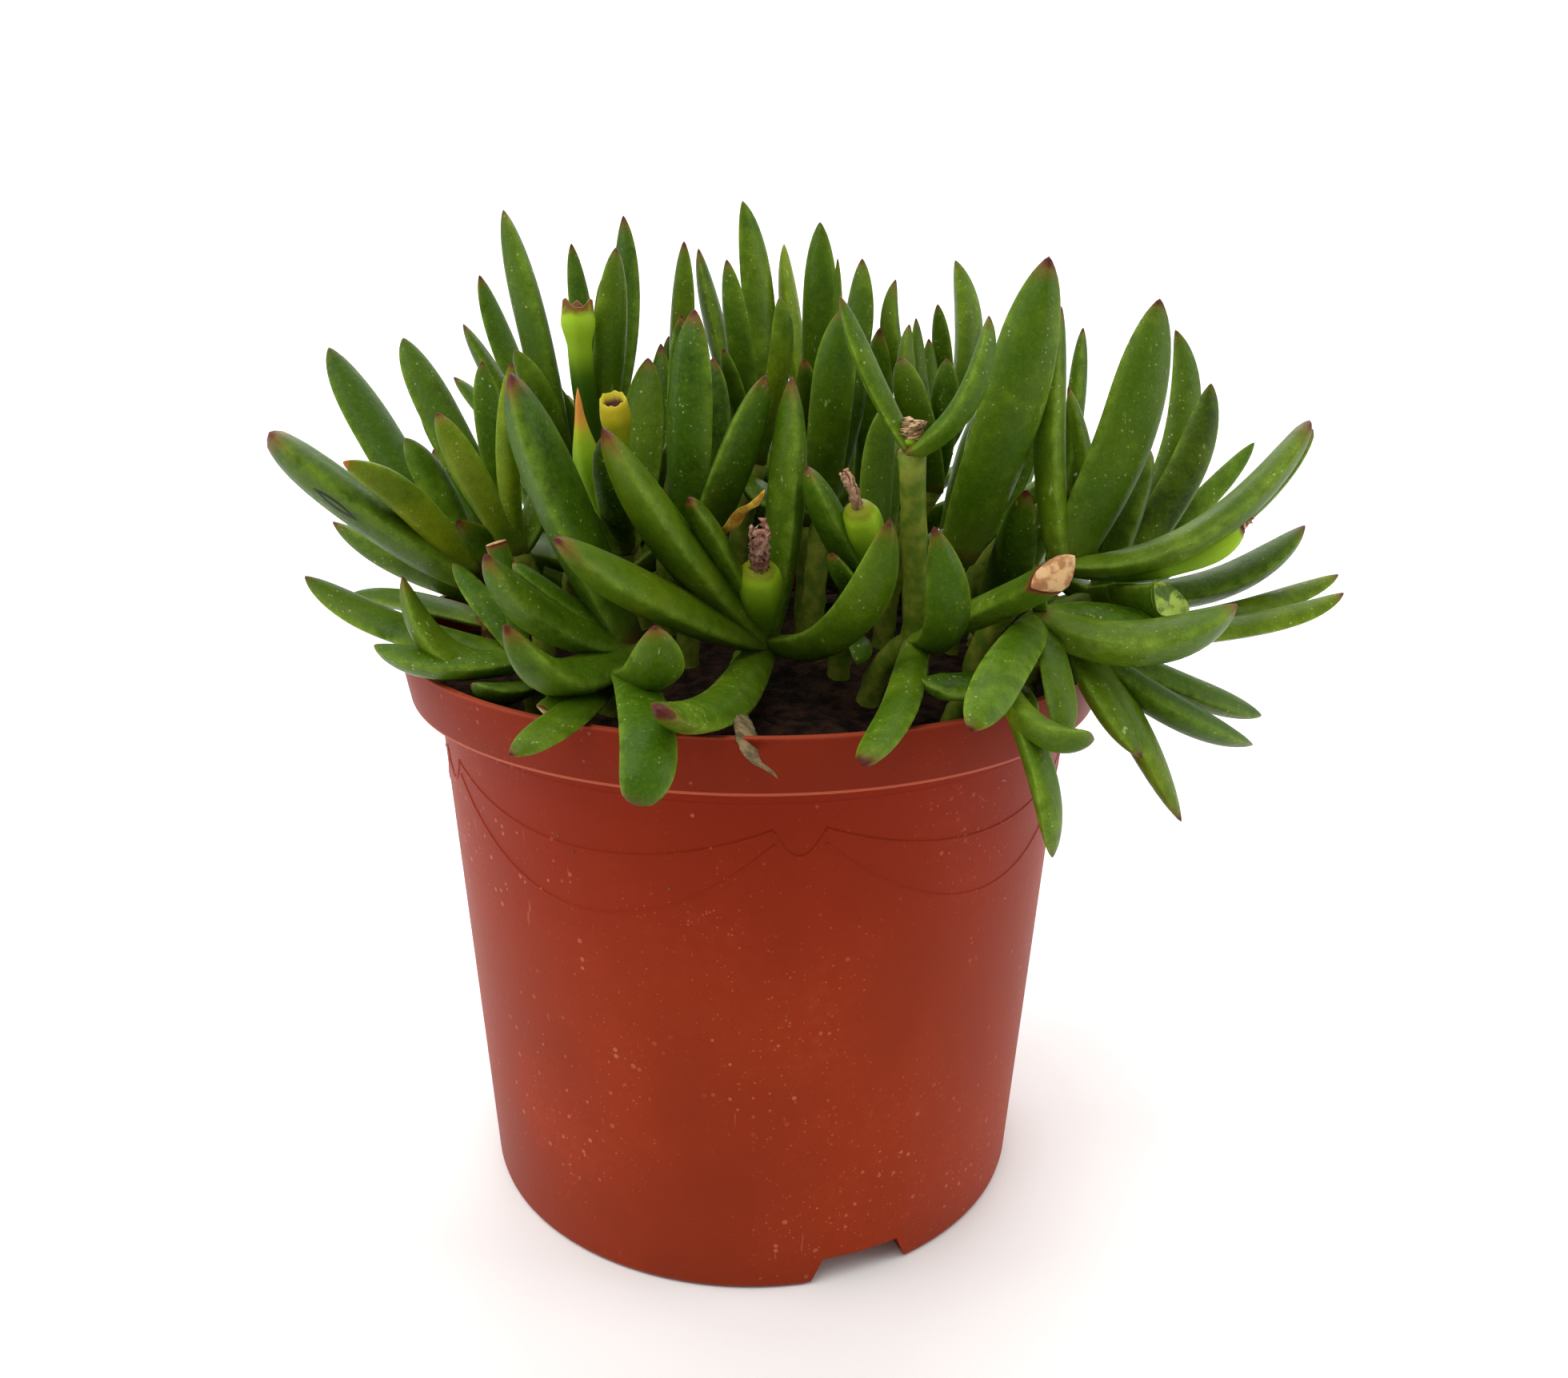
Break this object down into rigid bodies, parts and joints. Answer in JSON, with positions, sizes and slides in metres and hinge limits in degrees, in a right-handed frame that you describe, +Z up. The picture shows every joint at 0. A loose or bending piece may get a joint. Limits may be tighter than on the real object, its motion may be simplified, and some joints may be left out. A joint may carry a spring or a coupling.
{
  "type": "potted pig ear succulent",
  "caption": "Clump of thick, finger-like succulent leaves in opposite pairs on short stems, with green seed capsules, growing in a round nursery pot with a stepped rim.",
  "frame": {"origin": "centre of the pot's flat underside, where it stands", "axes": "+Z up along the pot's axis, -Y towards the front of the plant as it is pictured, +X to the right of that front"},
  "size_m": [0.2174, 0.2003, 0.2107],
  "materials": {
    "pot_plastic": "satin terracotta-coloured moulded plastic with fine scuffs",
    "peat": "dark damp potting peat, matt and crumbly",
    "leaf_skin": "waxy satin green skin with fine pale dots",
    "dry_petal": "dry, papery, matt brown"
  },
  "bodies": {
    "root": {"dried_flower_1": "dry_petal", "dried_flower_2": "dry_petal", "dried_flower_3": "dry_petal", "dried_flower_4": "dry_petal", "leafy_stem_01": "leaf_skin", "leafy_stem_02": "leaf_skin", "leafy_stem_03": "leaf_skin", "leafy_stem_04": "leaf_skin", "leafy_stem_05": "leaf_skin", "leafy_stem_06": "leaf_skin", "leafy_stem_07": "leaf_skin", "leafy_stem_08": "leaf_skin", "leafy_stem_09": "leaf_skin", "leafy_stem_10": "leaf_skin", "leafy_stem_11": "leaf_skin", "leafy_stem_12": "leaf_skin", "leafy_stem_13": "leaf_skin", "leafy_stem_14": "leaf_skin", "leafy_stem_15": "leaf_skin", "leafy_stem_16": "leaf_skin", "leafy_stem_17": "leaf_skin", "leafy_stem_18": "leaf_skin", "leafy_stem_19": "leaf_skin", "leafy_stem_20": "leaf_skin", "leafy_stem_21": "leaf_skin", "leafy_stem_22": "leaf_skin", "leafy_stem_23": "leaf_skin", "leafy_stem_24": "leaf_skin", "leafy_stem_25": "leaf_skin", "leafy_stem_26": "leaf_skin", "leafy_stem_27": "leaf_skin", "leafy_stem_28": "leaf_skin", "leafy_stem_29": "leaf_skin", "leafy_stem_30": "leaf_skin", "leafy_stem_31": "leaf_skin", "leafy_stem_32": "leaf_skin", "leafy_stem_33": "leaf_skin", "leafy_stem_34": "leaf_skin", "leafy_stem_35": "leaf_skin", "pot": "pot_plastic", "soil": "peat", "withered_leaf_1": "dry_petal", "withered_leaf_2": "dry_petal"}
  },
  "joints": []
}
